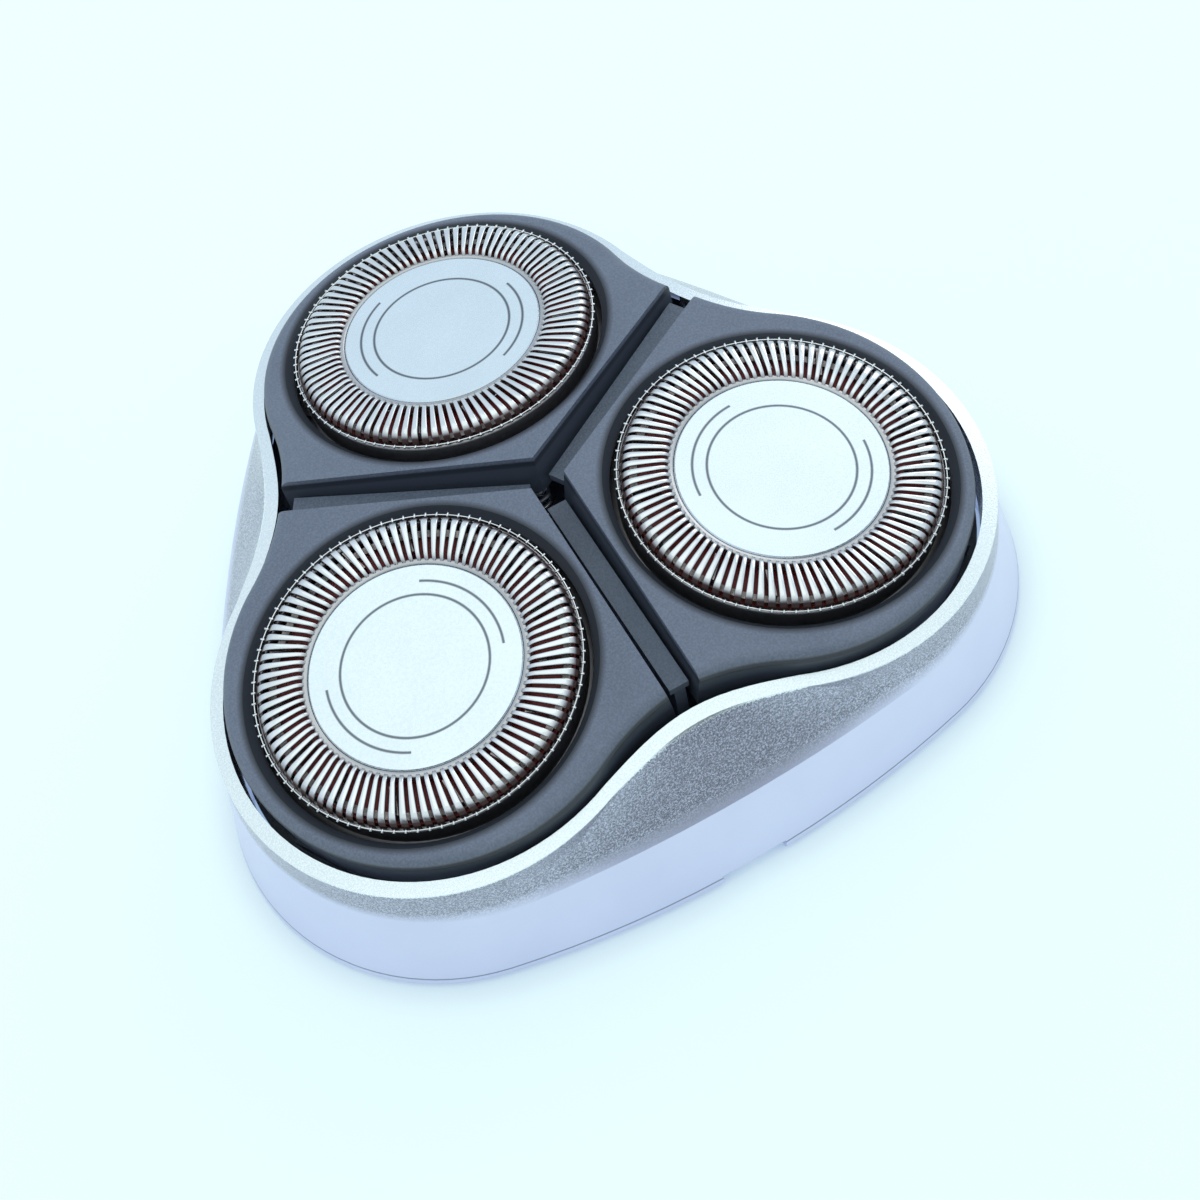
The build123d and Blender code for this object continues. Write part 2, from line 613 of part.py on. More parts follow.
# Petal springs, upright under the petals' inner tips
pad_out = (HEAD_REACH - petal_bottom * sin(lean) - SPRING_REACH) / cos(lean)
pad_height = DISC_HEIGHT - petal_bottom * cos(lean) + pad_out * sin(lean)
spring_low = PLATE_TOP + SPRING_WIRE + SPRING_REST
spring_high = pad_height - (SPRING_RADIUS + SPRING_WIRE) * tan(lean) - SPRING_WIRE - SPRING_GAP
for number, angle in enumerate(HEAD_ANGLES, 1):
    spring_x, spring_y = polar(SPRING_REACH, angle)
    with BuildPart() as petal_spring:
        with BuildLine() as coil:
            Helix(
                (spring_high - spring_low) / SPRING_TURNS,
                spring_high - spring_low,
                SPRING_RADIUS,
                center=(spring_x, spring_y, spring_low),
            )
        with BuildSketch(Plane(origin=coil.line @ 0, z_dir=coil.line % 0)):
            RegularPolygon(SPRING_WIRE, 6)
        sweep()
    petal_spring.part.label = f"petal_spring_{number}"
    export_step(petal_spring.part, f"parts/petal_spring_{number}.step")
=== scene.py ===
# %% [markdown]
# # A rotary shaver head
#
# The object is a head with three round guards of slotted steel. Each guard sits in a dark petal that tilts,
# and the three petals sit in one silver skirt. The solids come ready made from the CAD model, in metres, and
# this lesson dresses them. It gives each one its finish, and it makes anew only what is too fine for the
# solids, or what has to shorten as a petal tilts.

# %% Load the frame
from math import cos, pi, radians, sin

import bpy
import numpy as np
from mathutils import Matrix, Vector


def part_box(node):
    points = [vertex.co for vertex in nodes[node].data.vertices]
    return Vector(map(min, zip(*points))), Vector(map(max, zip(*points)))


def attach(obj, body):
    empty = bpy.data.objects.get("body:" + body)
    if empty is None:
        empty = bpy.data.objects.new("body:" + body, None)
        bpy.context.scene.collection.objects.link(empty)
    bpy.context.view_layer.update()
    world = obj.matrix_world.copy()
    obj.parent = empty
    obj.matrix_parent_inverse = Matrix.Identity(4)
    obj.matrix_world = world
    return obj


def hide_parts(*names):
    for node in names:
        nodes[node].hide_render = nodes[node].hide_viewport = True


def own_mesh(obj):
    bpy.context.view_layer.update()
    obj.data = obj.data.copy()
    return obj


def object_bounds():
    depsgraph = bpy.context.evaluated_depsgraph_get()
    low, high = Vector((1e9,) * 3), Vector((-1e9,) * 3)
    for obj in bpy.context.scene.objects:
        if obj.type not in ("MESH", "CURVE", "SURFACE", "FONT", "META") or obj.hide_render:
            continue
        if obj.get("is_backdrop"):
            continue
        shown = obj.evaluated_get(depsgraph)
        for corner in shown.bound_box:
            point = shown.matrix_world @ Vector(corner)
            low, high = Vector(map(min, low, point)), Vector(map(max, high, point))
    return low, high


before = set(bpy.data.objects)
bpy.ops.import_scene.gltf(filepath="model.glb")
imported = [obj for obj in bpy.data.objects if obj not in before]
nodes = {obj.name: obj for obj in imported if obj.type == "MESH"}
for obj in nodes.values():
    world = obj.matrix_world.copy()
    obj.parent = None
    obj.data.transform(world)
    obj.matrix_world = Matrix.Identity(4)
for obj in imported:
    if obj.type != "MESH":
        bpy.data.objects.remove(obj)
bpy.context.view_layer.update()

# %% [markdown]
# ## Where each head sits
#
# Each head leans outwards a little, so a pattern that is round on its disc isn't round in the object's own
# axes. A small frame for each head, with one axis along the head's own, makes every later formula short: a
# distance from the axis and an angle round it are all that the guards and discs need.

# %% The heads' own frames
MM = 0.001
HEAD_ANGLES = (90.0, -30.0, 210.0)
HEAD_REACH = 16.0 * MM
HEAD_LEAN = radians(7.26)
DISC_HEIGHT = 14.8 * MM


def head_matrix(angle):
    """Columns are the head's outward, sideways and axial directions. The origin is the disc's top centre."""
    across = radians(angle)
    outward = Vector((cos(across), sin(across), 0))
    up = Vector((0, 0, 1))
    x_axis = outward * cos(HEAD_LEAN) - up * sin(HEAD_LEAN)
    z_axis = outward * sin(HEAD_LEAN) + up * cos(HEAD_LEAN)
    y_axis = z_axis.cross(x_axis)
    origin = outward * HEAD_REACH + up * DISC_HEIGHT
    return Matrix((
        (x_axis.x, y_axis.x, z_axis.x, origin.x),
        (x_axis.y, y_axis.y, z_axis.y, origin.y),
        (x_axis.z, y_axis.z, z_axis.z, origin.z),
        (0, 0, 0, 1),
    ))


heads = [head_matrix(angle) for angle in HEAD_ANGLES]
print("head origins in mm:", [[round(1000 * value, 2) for value in head.translation] for head in heads])

# %% [markdown]
# ## The camera
#
# The camera stands where the photograph was taken from, close and high in front and a little to the left, and
# it is turned about its own line of sight. A place, a point to look at and a roll say this with few numbers,
# and they are easier to check against a picture than a table of a matrix's values.

# %% Camera
EYE = Vector((-0.019816, -0.071905, 0.118244))
AIM = Vector((-0.00141, -0.010374, 0.0148))
ROLL = radians(14.32)
FOCAL_PIXELS = 1881.0
PICTURE_PIXELS = 1200.0

lens = bpy.data.cameras.new("photo_camera")
lens.sensor_width = 36.0
lens.lens = lens.sensor_width * FOCAL_PIXELS / PICTURE_PIXELS
lens.clip_start = 0.005
lens.clip_end = 10.0
camera = bpy.data.objects.new("photo_camera", lens)
bpy.context.scene.collection.objects.link(camera)
sight = (AIM - EYE).normalized()
level = sight.cross(Vector((0, 0, 1))).normalized()
upward = level.cross(sight)
turned_up = Matrix.Rotation(ROLL, 3, sight) @ upward
turned_side = sight.cross(turned_up)
camera.matrix_world = Matrix((
    (turned_side.x, turned_up.x, -sight.x, EYE.x),
    (turned_side.y, turned_up.y, -sight.y, EYE.y),
    (turned_side.z, turned_up.z, -sight.z, EYE.z),
    (0, 0, 0, 1),
))
bpy.context.scene.camera = camera
print("lens in mm:", round(lens.lens, 2))

# %% [markdown]
# ## Helpers for materials
#
# A material is a small graph. A few helpers keep the graphs readable. One starts a material with its shader
# and its plain values, and one adds a node and sets its inputs in a single line. The next stand for what
# nearly every material needs: a place, a distance from an axis, a sum or a product, a mix and a change of
# range. The last two give a material to the CAD nodes that wear it.

# %% Material helpers


def start_material(name, **values):
    """A material with one Principled BSDF, whose sockets get the given plain values.

    A value goes by its socket's name, with underscores for the spaces.
    """
    material = bpy.data.materials.new(name)
    material.use_nodes = True
    shader = material.node_tree.nodes["Principled BSDF"]
    for socket, value in values.items():
        socket = socket.replace("_", " ")
        if isinstance(value, tuple) and len(value) == 3:
            value = (*value, 1.0)
        shader.inputs[socket].default_value = value
    return material, material.node_tree, shader


def add_node(tree, kind, inputs=None, **settings):
    """A node of the given kind. An input is either a plain value or another node's output to link from."""
    node = tree.nodes.new(kind)
    for setting, value in settings.items():
        setattr(node, setting, value)
    for key, value in (inputs or {}).items():
        if isinstance(value, bpy.types.NodeSocket):
            tree.links.new(value, node.inputs[key])
        else:
            node.inputs[key].default_value = value
    return node


def calculate(tree, operation, *values):
    """The output of a Math node. Each value is either a number or another node's output."""
    return add_node(tree, "ShaderNodeMath", dict(enumerate(values)), operation=operation).outputs[0]


def object_place(tree):
    """The point's place in the object's own coordinates, in metres."""
    return add_node(tree, "ShaderNodeTexCoord").outputs["Object"]


def head_place(tree, head):
    """The point's place in a head's own frame, in metres. A Mapping node turns and shifts it there."""
    back = head.inverted()
    return add_node(tree, "ShaderNodeMapping", {
        "Vector": object_place(tree), "Location": back.translation, "Rotation": back.to_euler(),
    }).outputs["Vector"]


def reach_and_height(tree, place):
    """A place's distance from the Z axis, as the length of its X and Y alone, and its Z."""
    flat = add_node(tree, "ShaderNodeVectorMath", {0: place, 1: (1.0, 1.0, 0.0)}, operation="MULTIPLY")
    reach = add_node(tree, "ShaderNodeVectorMath", {0: flat.outputs["Vector"]}, operation="LENGTH")
    return reach.outputs["Value"], add_node(tree, "ShaderNodeSeparateXYZ", {"Vector": place}).outputs["Z"]


def mix_colours(tree, factor, first, second):
    """The output of a colour mix, from first at 0 to second at 1."""
    node = add_node(tree, "ShaderNodeMix", data_type="RGBA")
    for socket, value in ((node.inputs[0], factor), (node.inputs[6], first), (node.inputs[7], second)):
        if isinstance(value, bpy.types.NodeSocket):
            tree.links.new(value, socket)
        elif isinstance(value, tuple):
            socket.default_value = (*value, 1.0)
        else:
            socket.default_value = value
    return node.outputs[2]


def remap(tree, value, low, high, to_low=0.0, to_high=1.0):
    """The output of a clamped straight-line change of range."""
    return add_node(tree, "ShaderNodeMapRange", {
        "Value": value, "From Min": low, "From Max": high, "To Min": to_low, "To Max": to_high,
    }).outputs["Result"]


def dress(names, material):
    """Give every named CAD node the material."""
    for name in names:
        mesh = nodes[name].data
        mesh.materials.clear()
        mesh.materials.append(material)


def of_each_head(name):
    """The names of a piece that every head has."""
    return [f"{name}_{number}" for number in (1, 2, 3)]


# %% [markdown]
# ## Grain as a shared effect
#
# The lacquer on the skirt, the moulded petals and the satin discs all show a fine grain, each at its own size
# and strength. One node group makes it for all of them. It puts out a fine and a broad mask and a height, and
# the shader that uses them stays in each material.

# %% Grain group
SPECKLE_EDGES = (0.42, 0.62)
PATCH_EDGES = (0.3, 0.7)


def make_grain_group():
    """Two noises, one fine and one broad, give a speckle mask, a bump height and a slow patchiness.

    A mask is its noise, stretched so that it goes from 0 to 1 between two edges and stays there beyond them.
    """
    group = bpy.data.node_groups.new("moulded_grain", "ShaderNodeTree")
    group.interface.new_socket("Place", in_out="INPUT", socket_type="NodeSocketVector")
    for name in ("Fine Scale", "Broad Scale"):
        group.interface.new_socket(name, in_out="INPUT", socket_type="NodeSocketFloat")
    for name in ("Speckle", "Height", "Patches"):
        group.interface.new_socket(name, in_out="OUTPUT", socket_type="NodeSocketFloat")
    entry = group.nodes.new("NodeGroupInput")
    leave = group.nodes.new("NodeGroupOutput")
    speckle = add_node(group, "ShaderNodeTexNoise", {
        "Vector": entry.outputs["Place"], "Scale": entry.outputs["Fine Scale"],
        "Detail": 2.0, "Roughness": 0.7,
    })
    patches = add_node(group, "ShaderNodeTexNoise", {
        "Vector": entry.outputs["Place"], "Scale": entry.outputs["Broad Scale"], "Detail": 3.0,
    })
    group.links.new(remap(group, speckle.outputs["Fac"], *SPECKLE_EDGES), leave.inputs["Speckle"])
    group.links.new(speckle.outputs["Fac"], leave.inputs["Height"])
    group.links.new(remap(group, patches.outputs["Fac"], *PATCH_EDGES), leave.inputs["Patches"])
    return group


grain_group = make_grain_group()
print("sockets of the grain group:", [item.name for item in grain_group.interface.items_tree])


def add_grain(tree, place, fine, broad):
    """Place the grain group in a material, with its two scales in cells per metre."""
    return add_node(tree, "ShaderNodeGroup", {
        "Place": place, "Fine Scale": fine, "Broad Scale": broad,
    }, node_tree=grain_group)


def add_bump(tree, shader, height, strength, distance):
    """Turn a height into a bump on the shader's normal."""
    bump = add_node(tree, "ShaderNodeBump", {"Height": height, "Strength": strength, "Distance": distance})
    tree.links.new(bump.outputs["Normal"], shader.inputs["Normal"])


# %% [markdown]
# ## The silver skirt
#
# The skirt is moulded plastic under silver lacquer. Below the crease line the lacquer is smooth, and above it
# the surface is grained: darker flakes between pale ones, whose bumps glitter in the scooped waists, where the
# rest reflects something dark. The height above the foot tells the two apart, and drives the tones, the
# roughness and the bump. The rim's top face is a flat cone, on which height plus slope times distance from the
# axis is one number, so that number finds it. Its grain is fainter, and its lighter tones are a painted
# highlight, with a frayed edge where the grain begins. A dark line along the lip at the foot is painted shade,
# as under a step.

# %% Skirt material
GRAIN_START, GRAIN_FULL = 7.45 * MM, 8.5 * MM
LIP_LINE, LIP_HALF = 0.95 * MM, 0.07 * MM
RIM_SLOPE, RIM_START, RIM_FULL = 0.17, 15.73 * MM, 15.79 * MM
RIM_FRAY, RIM_GRAIN = 0.12 * MM, 0.15
SMOOTH_TONES = (0.7, 0.71, 0.92), (0.76, 0.77, 0.97)
FLAKE_TONES = (0.29, 0.3, 0.37), (0.63, 0.64, 0.78)
# The rim's lighter tones are a painted highlight, and the lip's dark tone is painted shade.
RIM_HIGHLIGHT_TONES = (0.8, 0.87, 0.91), (0.9, 0.96, 0.98)
LIP_SHADE_TONE = (0.3, 0.32, 0.42)
SMOOTH_ROUGHNESS, GRAINED_ROUGHNESS = 0.38, 0.24

skirt, tree, shader = start_material("silver_lacquer", Metallic=0.85, Coat_Weight=0.2)
place = object_place(tree)
grain = add_grain(tree, place, fine=8200.0, broad=90.0)
speckle = grain.outputs["Speckle"]
reach, height = reach_and_height(tree, place)
above = remap(tree, height, GRAIN_START, GRAIN_FULL)
# Painted shade: a thin dark line along the lip at the foot.
lip_shade = calculate(tree, "COMPARE", height, LIP_LINE, LIP_HALF)
level = calculate(tree, "MULTIPLY_ADD", reach, RIM_SLOPE, height)
rim = remap(tree, calculate(tree, "MULTIPLY_ADD", speckle, RIM_FRAY, level), RIM_START, RIM_FULL)
smooth = mix_colours(tree, grain.outputs["Patches"], *SMOOTH_TONES)
side = mix_colours(tree, above, smooth, mix_colours(tree, speckle, *FLAKE_TONES))
side = mix_colours(tree, lip_shade, side, LIP_SHADE_TONE)
colour = mix_colours(tree, rim, side, mix_colours(tree, speckle, *RIM_HIGHLIGHT_TONES))
tree.links.new(colour, shader.inputs["Base Color"])
tree.links.new(remap(tree, above, 0.0, 1.0, SMOOTH_ROUGHNESS, GRAINED_ROUGHNESS), shader.inputs["Roughness"])
grained = calculate(tree, "MULTIPLY", above, remap(tree, rim, 0.0, 1.0, 1.0, RIM_GRAIN))
flake_height = calculate(tree, "MULTIPLY", grain.outputs["Height"], grained)
add_bump(tree, shader, flake_height, strength=0.9, distance=0.07 * MM)
dress(["skirt_housing"], skirt)
print("nodes in the skirt's material:", len(tree.nodes))

# %% [markdown]
# ## The petals and the frame under them
#
# The petals are dark grey plastic. Their tops are matt with a fine moulded grain, and the collars round the
# guards, the soft outer edges and the walls are smooth, and darker by painted shade. In a head's own frame all
# of that is told by how far a point is below the top and how far it is from the axis, so each petal's material
# has a Mapping node. The frame, whose bars show in the channels, the rings under the petals and the cutters'
# dark red carriers are plastic from other moulds.

# %% Dark plastics
# Distances from the axis and heights in a head's own frame, from where a zone begins to where it is full
COLLAR_EDGE = (12.05 * MM, 12.45 * MM)
TOP_EDGE = (-1.35 * MM, -1.2 * MM)
WALL_EDGE = (-1.65 * MM, -1.85 * MM)
# The collar's and the walls' shares darken the petal's tone as painted shade.
COLLAR_PAINTED_SHADE, WALL_PAINTED_SHADE, SMOOTH_GLOSS = 0.25, 0.5, 0.36
SPECKLE_SHARE, PATCH_SHARE = 0.65, 0.35
PETAL_TONES = (0.138, 0.162, 0.222), (0.206, 0.236, 0.314)
FRAME_TONES = (0.1, 0.122, 0.168), (0.16, 0.188, 0.25)
RING_TONES = (0.04, 0.05, 0.066), (0.058, 0.07, 0.09)
CARRIER_TONES = (0.17, 0.014, 0.014), (0.25, 0.028, 0.024)


def scaled(colour, share):
    """The colour with each part multiplied by the share."""
    return tuple(share * value for value in colour)


def dark_plastic(name, tones, roughness, fine, strength, head=None):
    """Moulded plastic between two tones, of which the first is the darker one.

    With a head, the grain is left only on the petal's top outside the collar. The collar and the soft edges
    take a share of the dark tone, and the walls below them a larger share, as painted shade on smoother
    plastic.
    """
    material, tree, shader = start_material(name, Specular_IOR_Level=0.42)
    grain = add_grain(tree, object_place(tree), fine, broad=160.0)
    speckle, height = grain.outputs["Speckle"], grain.outputs["Height"]
    patches = calculate(tree, "MULTIPLY", grain.outputs["Patches"], PATCH_SHARE)
    colour = mix_colours(tree, calculate(tree, "MULTIPLY_ADD", speckle, SPECKLE_SHARE, patches), *tones)
    gloss = remap(tree, speckle, 0.0, 1.0, roughness - 0.06, roughness + 0.08)
    if head is not None:
        reach, level = reach_and_height(tree, head_place(tree, head))
        top = calculate(tree, "MULTIPLY", remap(tree, level, *TOP_EDGE), remap(tree, reach, *COLLAR_EDGE))
        wall = remap(tree, level, *WALL_EDGE)
        # The collar and the walls are darker by painted shade, and smoother.
        smooth = mix_colours(tree, wall, scaled(tones[0], COLLAR_PAINTED_SHADE), scaled(tones[0], WALL_PAINTED_SHADE))
        colour = mix_colours(tree, top, smooth, colour)
        gloss = add_node(tree, "ShaderNodeMix", {0: top, 2: SMOOTH_GLOSS, 3: gloss}).outputs[0]
        height = calculate(tree, "MULTIPLY", height, top)
    tree.links.new(colour, shader.inputs["Base Color"])
    tree.links.new(gloss, shader.inputs["Roughness"])
    add_bump(tree, shader, height, strength, distance=0.06 * MM)
    return material


for number, head in enumerate(heads, 1):
    petal_plastic = dark_plastic(
        f"petal_plastic_{number}", PETAL_TONES, roughness=0.55, fine=6400.0, strength=0.9, head=head,
    )
    dress([f"petal_{number}"], petal_plastic)
frame_plastic = dark_plastic("frame_plastic", FRAME_TONES, roughness=0.5, fine=6400.0, strength=0.8)
ring_plastic = dark_plastic("ring_plastic", RING_TONES, roughness=0.45, fine=2600.0, strength=0.3)
carrier_plastic = dark_plastic("carrier_plastic", CARRIER_TONES, roughness=0.4, fine=2600.0, strength=0.3)
dress(["base_frame", "socket_bush"], frame_plastic)
dress(of_each_head("retaining_ring"), ring_plastic)
dress(of_each_head("cutter_carrier"), carrier_plastic)
print("nodes in a petal's material:", len(petal_plastic.node_tree.nodes))

# %% [markdown]
# ## Steel
#
# The guards are polished, the discs are satin, and the blades, pins, screws and springs are plain. They share
# one recipe with its own tint and roughness each, and the blades' dark brown tint is painted shade, for their
# place under the guards. A fine speckle in the roughness stops a mirror from looking computed. A guard's bars
# are polished on top only: their flanks and the slopes at their ends are rougher, and painted a dark brown as
# shade and as the reflection of the dark petals, and a number stored at each point of the mesh says how much.

# %% Steel materials
# The dark brown is painted shade and painted reflection on the guards' flanks, slopes, cup and wall.
GUARD_SHADE_TONE, DULL_ROUGHNESS = (0.1, 0.06, 0.058), 0.5


def steel(name, tint, roughness, spread, fine=2400.0, dimmest=0.86):
    """Bare metal whose roughness wanders by the spread, and whose tint wanders down to the dimmest share."""
    material, tree, shader = start_material(name, Metallic=1.0, Roughness=roughness)
    grain = add_grain(tree, object_place(tree), fine, broad=300.0)
    colour = mix_colours(tree, grain.outputs["Patches"], scaled(tint, dimmest), tint)
    tree.links.new(colour, shader.inputs["Base Color"])
    gloss = remap(tree, grain.outputs["Speckle"], 0.0, 1.0, roughness - spread, roughness + spread)
    tree.links.new(gloss, shader.inputs["Roughness"])
    add_bump(tree, shader, grain.outputs["Height"], strength=0.12, distance=0.02 * MM)
    return material, tree, shader


# The blades' dark brown tint is painted shade, for their place under the guards.
blade_steel = steel("blade_steel", (0.36, 0.31, 0.3), roughness=0.35, spread=0.08)[0]
small_steel = steel("small_steel", (0.62, 0.62, 0.63), roughness=0.35, spread=0.08)[0]
rim_steel = steel("rim_steel", (0.92, 0.93, 0.93), roughness=0.2, spread=0.05)[0]
guard_steel, tree, shader = steel("guard_steel", (0.86, 0.88, 0.9), roughness=0.15, spread=0.05)
# A stored share paints shade and reflection dark brown on the bars' flanks and slopes, and makes them rougher.
shade_and_dullness = add_node(tree, "ShaderNodeAttribute", attribute_name="shade_and_dullness").outputs["Fac"]
polished = shader.inputs["Base Color"].links[0].from_socket
tree.links.new(mix_colours(tree, shade_and_dullness, polished, GUARD_SHADE_TONE), shader.inputs["Base Color"])
shine = shader.inputs["Roughness"].links[0].from_socket
rougher = add_node(tree, "ShaderNodeMix", {0: shade_and_dullness, 2: shine, 3: DULL_ROUGHNESS})
tree.links.new(rougher.outputs[0], shader.inputs["Roughness"])
dress(of_each_head("cap"), rim_steel)
dress(of_each_head("cutter_blades"), blade_steel)
dress(of_each_head("petal_spring") + ["screws", "pivot_pins"], small_steel)
print("nodes in the guards' material:", len(tree.nodes))

# %% [markdown]
# ## The discs and their rings
#
# A disc is turned steel with one thin circle and two arcs marked on it. The marks are too fine to be worth
# geometry, so they are masks in the material. In the head's own frame a mark is a band of distances from the
# axis, and an arc is that band within a range of angles. Where the mask is full the steel is a dark grey, as
# an etched line is.

# %% Ring mark group


def make_ring_group():
    """A mask of a line round the Z axis: 1 on the line, within the half spread of a middle angle, or else 0.

    The line's sides are soft. Across it the mask falls from 1, at half the half width from the line's middle,
    to 0 at one and a half times the half width.
    """
    group = bpy.data.node_groups.new("etched_ring", "ShaderNodeTree")
    group.interface.new_socket("Place", in_out="INPUT", socket_type="NodeSocketVector")
    for name in ("Radius", "Half Width", "Middle Angle", "Half Spread"):
        group.interface.new_socket(name, in_out="INPUT", socket_type="NodeSocketFloat")
    group.interface.new_socket("Mask", in_out="OUTPUT", socket_type="NodeSocketFloat")
    entry = group.nodes.new("NodeGroupInput")
    leave = group.nodes.new("NodeGroupOutput")
    place, half = entry.outputs["Place"], entry.outputs["Half Width"]
    reach = reach_and_height(group, place)[0]
    off_line = calculate(group, "ABSOLUTE", calculate(group, "SUBTRACT", reach, entry.outputs["Radius"]))
    outer, inner = calculate(group, "MULTIPLY", half, 1.5), calculate(group, "MULTIPLY", half, 0.5)
    band = remap(group, off_line, outer, inner)
    axes = add_node(group, "ShaderNodeSeparateXYZ", {"Vector": place})
    angle = calculate(group, "ARCTAN2", axes.outputs["Y"], axes.outputs["X"])
    turned = calculate(group, "SUBTRACT", angle, entry.outputs["Middle Angle"])
    off_middle = calculate(group, "ABSOLUTE", calculate(group, "WRAP", turned, pi, -pi))
    inside = calculate(group, "LESS_THAN", off_middle, entry.outputs["Half Spread"])
    group.links.new(calculate(group, "MULTIPLY", band, inside), leave.inputs["Mask"])
    return group


ring_group = make_ring_group()

# %% Disc materials
CIRCLE_RADIUS = 5.0 * MM
ARC_RADIUS = 5.98 * MM
LINE_HALF = 0.09 * MM
MARK_TONE = (0.17, 0.19, 0.22)
# The middle and half spread of the circle and of each disc's two arcs, in degrees from the outward direction
WHOLE_TURN = (0.0, 181.0)
DISC_ARCS = (((242.0, 38.0), (65.0, 39.0)), ((164.5, 40.0), (342.5, 39.5)), ((169.8, 39.7), (351.5, 39.0)))


def disc_material(number, head, arcs):
    """Satin steel, with the marks placed in the head's own frame."""
    material, tree, shader = steel(
        f"disc_steel_{number}", (0.81, 0.89, 0.95), roughness=0.3, spread=0.06, fine=5200.0, dimmest=0.96,
    )
    on_head = head_place(tree, head)
    either = 0.0
    for radius, (middle, spread) in ((CIRCLE_RADIUS, WHOLE_TURN), *((ARC_RADIUS, arc) for arc in arcs)):
        mark = add_node(tree, "ShaderNodeGroup", {
            "Place": on_head, "Radius": radius, "Half Width": LINE_HALF,
            "Middle Angle": radians(middle), "Half Spread": radians(spread),
        }, node_tree=ring_group)
        either = calculate(tree, "MAXIMUM", either, mark.outputs["Mask"])
    bare = shader.inputs["Base Color"].links[0].from_socket
    tree.links.new(mix_colours(tree, either, bare, MARK_TONE), shader.inputs["Base Color"])
    return material


for number, (head, arcs) in enumerate(zip(heads, DISC_ARCS), 1):
    dress([f"disc_{number}"], disc_material(number, head, arcs))
print("marks on a disc: 1 circle and", len(arcs), "arcs")

# %% [markdown]
# ## The slotted guards
#
# On the real guard the metal between two slots is a thin rounded bar that rises beside the disc, crosses the
# track with a slight slant, and dips over the outer shoulder to a fine bright rim. The solid's flat slots give
# the right count and place, but not the roundness that makes every bar glint. One array holds all the bars,
# made from a profile, which says how high a bar is at each distance from the axis, and a rounded section.

# %% Helpers for surfaces


def link_mesh(name, points, faces, body, materials, shade_and_dull, finish):
    """A smooth mesh object at the origin, made from arrays, that rides on a CAD body.

    Each point has a share of painted shade and dullness from 0 to 1, and each face the number of its material.
    """
    mesh = bpy.data.meshes.new(name)
    mesh.from_pydata(np.asarray(points).tolist(), [], np.asarray(faces).tolist())
    mesh.shade_smooth()
    for material in materials:
        mesh.materials.append(material)
    mesh.polygons.foreach_set("material_index", finish)
    mesh.attributes.new("shade_and_dullness", "FLOAT", "POINT").data.foreach_set("value", shade_and_dull)
    piece = bpy.data.objects.new(name, mesh)
    bpy.context.scene.collection.objects.link(piece)
    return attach(piece, body)


def grid_faces(rows, columns, closed_rows, closed_columns, start=0):
    """Quads of a grid of points, where either direction may close on itself.

    A quad's corners turn from the columns towards the rows, so its front is on the side that the cross
    product of the column's direction and the row's points to.
    """
    row = np.arange(rows if closed_rows else rows - 1)
    column = np.arange(columns if closed_columns else columns - 1)
    row, column = (part.ravel() for part in np.meshgrid(row, column, indexing="ij"))
    next_row, next_column = (row + 1) % rows, (column + 1) % columns
    corners = (row * columns + column, row * columns + next_column,
               next_row * columns + next_column, next_row * columns + column)
    return start + np.stack(corners, axis=1)


# %% The bars
BAR_COUNT = 90
SLOT_WIDTH = 0.25 * MM
BAR_SLANT = radians(7.5)
BAR_MIDDLE = 9.35 * MM
# Distance from the axis and height of a bar's crown above the disc, in mm
BAR_PROFILE = np.array((
    (7.46, 0.0), (7.56, 0.06), (7.68, 0.15), (7.84, 0.23), (8.1, 0.28), (8.8, 0.30), (9.6, 0.30),
    (10.05, 0.28), (10.3, 0.22), (10.5, 0.11), (10.66, -0.05), (10.78, -0.28), (10.84, -0.5), (10.86, -0.8),
)) * MM
CROWN_HIGH, KEEL_DEEP = 0.1 * MM, 0.06 * MM
# The superellipse's power, and the steps round a bar's section
SQUARENESS = 0.55
AROUND = 16
bar_starts = np.arange(BAR_COUNT) * 2 * pi / BAR_COUNT
bar_turn = np.linspace(0, 2 * pi, AROUND, endpoint=False)


def make_bars():
    """Every bar's points, as an array over bars, steps along the bar and steps round its section.

    Along the bar the crown follows the profile, and the bar's middle turns about the axis with distance, as a
    straight line at the slant would. The section is a superellipse, nearly flat on top with round shoulders:
    its side and its rise are the cosine and the sine of one angle, each raised to a power below 1. At both
    ends the section shrinks to a point, which closes it.
    """
    reach, crown = BAR_PROFILE[:, 0], BAR_PROFILE[:, 1]
    reach = np.concatenate((reach[:1], reach, reach[-1:]))
    crown = np.concatenate((crown[:1], crown, crown[-1:]))
    width = (2 * pi * reach / BAR_COUNT - SLOT_WIDTH) / 2
    width[[0, -1]] = 0.0
    side = np.sign(np.cos(bar_turn)) * np.abs(np.cos(bar_turn)) ** SQUARENESS
    rise = np.sign(np.sin(bar_turn)) * np.abs(np.sin(bar_turn)) ** SQUARENESS
    lift = np.where(rise > 0, rise * CROWN_HIGH, rise * KEEL_DEEP) - CROWN_HIGH
    slant = (reach - BAR_MIDDLE) * np.tan(BAR_SLANT) / reach
    angle = bar_starts[:, None, None] + (slant[:, None] + width[:, None] * side / reach[:, None])[None]
    far = np.broadcast_to(reach[None, :, None], angle.shape)
    high = np.broadcast_to((crown[:, None] + lift * (width > 0)[:, None])[None], angle.shape)
    return np.stack((far * np.cos(angle), far * np.sin(angle), high), axis=-1)


